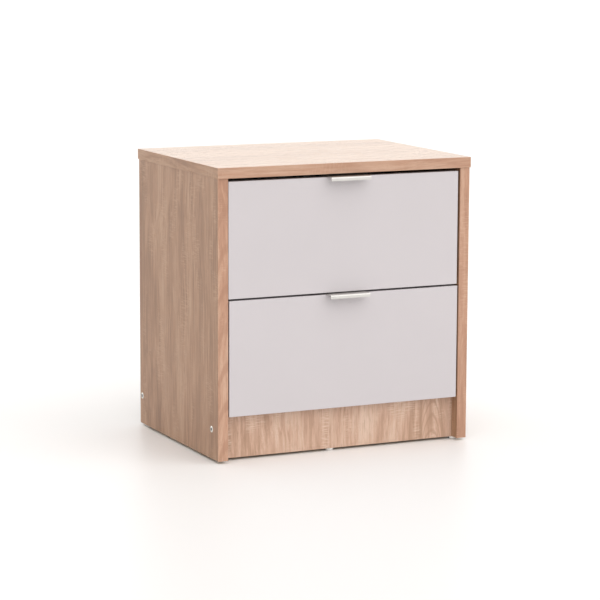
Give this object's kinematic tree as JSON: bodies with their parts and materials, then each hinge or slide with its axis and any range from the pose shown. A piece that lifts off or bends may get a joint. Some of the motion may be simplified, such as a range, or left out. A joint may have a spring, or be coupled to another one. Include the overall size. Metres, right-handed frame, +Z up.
{
  "type": "nightstand with drawers",
  "caption": "Pale oak-laminate bedside cabinet with light grey flush drawer fronts, thin aluminium edge pulls, a recessed plinth and roller-runner drawers.",
  "frame": {"origin": "on the floor, under the centre of the whole outline", "axes": "+Z up, -Y out of the drawer fronts, +X to the right seen from the front"},
  "size_m": [0.422, 0.3322, 0.443],
  "materials": {
    "oak_laminate": "pale oak-grain melamine laminate, matt",
    "oak_edge_band": "pale oak-print edge band, matt",
    "back_hardboard": "thin hardboard, one face pale",
    "drawer_base_hardboard": "thin white-faced hardboard",
    "drawer_board": "white melamine-faced board",
    "grey_front": "smooth light grey foil, satin",
    "pull_aluminium": "bent strip, silver anodised",
    "roller_plastic": "white nylon",
    "runner_steel": "cream powder-coated steel sheet",
    "dowel_beech": "plain beech",
    "glide_plastic": "pale plastic",
    "cam_zinc": "die-cast zinc, measured here as steel",
    "fastener_steel": "bright zinc-plated steel"
  },
  "bodies": {
    "cabinet": {"back_nails": "fastener_steel", "back_panel": "back_hardboard", "channel_pins": "fastener_steel", "channel_screws": "fastener_steel", "glides": "glide_plastic", "lower_channel_left": "runner_steel", "lower_channel_right": "runner_steel", "plinth_dowels": "dowel_beech", "plinth_front": "oak_laminate", "plinth_rear": "oak_laminate", "side_edging": "oak_edge_band", "side_left": "oak_laminate", "side_right": "oak_laminate", "side_screws": "fastener_steel", "top_cam_bolts": "fastener_steel", "top_cams": "cam_zinc", "top_dowels": "dowel_beech", "top_edging": "oak_edge_band", "top_panel": "oak_laminate", "upper_channel_left": "runner_steel", "upper_channel_right": "runner_steel"},
    "upper_drawer": {"upper_box_back": "drawer_board", "upper_box_base": "drawer_base_hardboard", "upper_box_left": "drawer_board", "upper_box_right": "drawer_board", "upper_box_screws": "fastener_steel", "upper_cam_bolts": "fastener_steel", "upper_cams": "cam_zinc", "upper_dowels": "dowel_beech", "upper_front": "grey_front", "upper_pull": "pull_aluminium", "upper_pull_screws": "fastener_steel", "upper_runner_left": "runner_steel", "upper_runner_pins": "fastener_steel", "upper_runner_right": "runner_steel", "upper_runner_screws": "fastener_steel"},
    "lower_drawer": {"lower_box_back": "drawer_board", "lower_box_base": "drawer_base_hardboard", "lower_box_left": "drawer_board", "lower_box_right": "drawer_board", "lower_box_screws": "fastener_steel", "lower_cam_bolts": "fastener_steel", "lower_cams": "cam_zinc", "lower_dowels": "dowel_beech", "lower_front": "grey_front", "lower_pull": "pull_aluminium", "lower_pull_screws": "fastener_steel", "lower_runner_left": "runner_steel", "lower_runner_pins": "fastener_steel", "lower_runner_right": "runner_steel", "lower_runner_screws": "fastener_steel"},
    "lower_channel_roller_left": {"lower_channel_roller_left": "roller_plastic"},
    "lower_channel_roller_right": {"lower_channel_roller_right": "roller_plastic"},
    "lower_runner_roller_left": {"lower_runner_roller_left": "roller_plastic"},
    "lower_runner_roller_right": {"lower_runner_roller_right": "roller_plastic"},
    "upper_channel_roller_left": {"upper_channel_roller_left": "roller_plastic"},
    "upper_channel_roller_right": {"upper_channel_roller_right": "roller_plastic"},
    "upper_runner_roller_left": {"upper_runner_roller_left": "roller_plastic"},
    "upper_runner_roller_right": {"upper_runner_roller_right": "roller_plastic"}
  },
  "joints": [
    {"name": "upper_drawer_slide", "type": "slide", "parent": "cabinet", "child": "upper_drawer", "axis": [0, -1, 0], "range_m": [0, 0.19]},
    {"name": "lower_drawer_slide", "type": "slide", "parent": "cabinet", "child": "lower_drawer", "axis": [0, -1, 0], "range_m": [0, 0.19]},
    {"name": "lower_channel_roller_left_spin", "type": "hinge", "parent": "cabinet", "child": "lower_channel_roller_left", "pos_m": [-0.18725, -0.1181, 0.1119], "axis": [1, 0, 0], "continuous": true},
    {"name": "lower_channel_roller_right_spin", "type": "hinge", "parent": "cabinet", "child": "lower_channel_roller_right", "pos_m": [0.18725, -0.1181, 0.1119], "axis": [1, 0, 0], "continuous": true},
    {"name": "lower_runner_roller_left_spin", "type": "hinge", "parent": "lower_drawer", "child": "lower_runner_roller_left", "pos_m": [-0.18725, 0.1049, 0.1101], "axis": [1, 0, 0], "continuous": true},
    {"name": "lower_runner_roller_right_spin", "type": "hinge", "parent": "lower_drawer", "child": "lower_runner_roller_right", "pos_m": [0.18725, 0.1049, 0.1101], "axis": [1, 0, 0], "continuous": true},
    {"name": "upper_channel_roller_left_spin", "type": "hinge", "parent": "cabinet", "child": "upper_channel_roller_left", "pos_m": [-0.18725, -0.1181, 0.2894], "axis": [1, 0, 0], "continuous": true},
    {"name": "upper_channel_roller_right_spin", "type": "hinge", "parent": "cabinet", "child": "upper_channel_roller_right", "pos_m": [0.18725, -0.1181, 0.2894], "axis": [1, 0, 0], "continuous": true},
    {"name": "upper_runner_roller_left_spin", "type": "hinge", "parent": "upper_drawer", "child": "upper_runner_roller_left", "pos_m": [-0.18725, 0.1049, 0.2876], "axis": [1, 0, 0], "continuous": true},
    {"name": "upper_runner_roller_right_spin", "type": "hinge", "parent": "upper_drawer", "child": "upper_runner_roller_right", "pos_m": [0.18725, 0.1049, 0.2876], "axis": [1, 0, 0], "continuous": true}
  ],
  "couplings": [
    {"joint": "lower_channel_roller_left_spin", "follows": "lower_drawer_slide", "rad_per_m": 113.64},
    {"joint": "lower_channel_roller_right_spin", "follows": "lower_drawer_slide", "rad_per_m": 113.64},
    {"joint": "lower_runner_roller_left_spin", "follows": "lower_drawer_slide", "rad_per_m": 113.64},
    {"joint": "lower_runner_roller_right_spin", "follows": "lower_drawer_slide", "rad_per_m": 113.64},
    {"joint": "upper_channel_roller_left_spin", "follows": "upper_drawer_slide", "rad_per_m": 113.64},
    {"joint": "upper_channel_roller_right_spin", "follows": "upper_drawer_slide", "rad_per_m": 113.64},
    {"joint": "upper_runner_roller_left_spin", "follows": "upper_drawer_slide", "rad_per_m": 113.64},
    {"joint": "upper_runner_roller_right_spin", "follows": "upper_drawer_slide", "rad_per_m": 113.64}
  ]
}
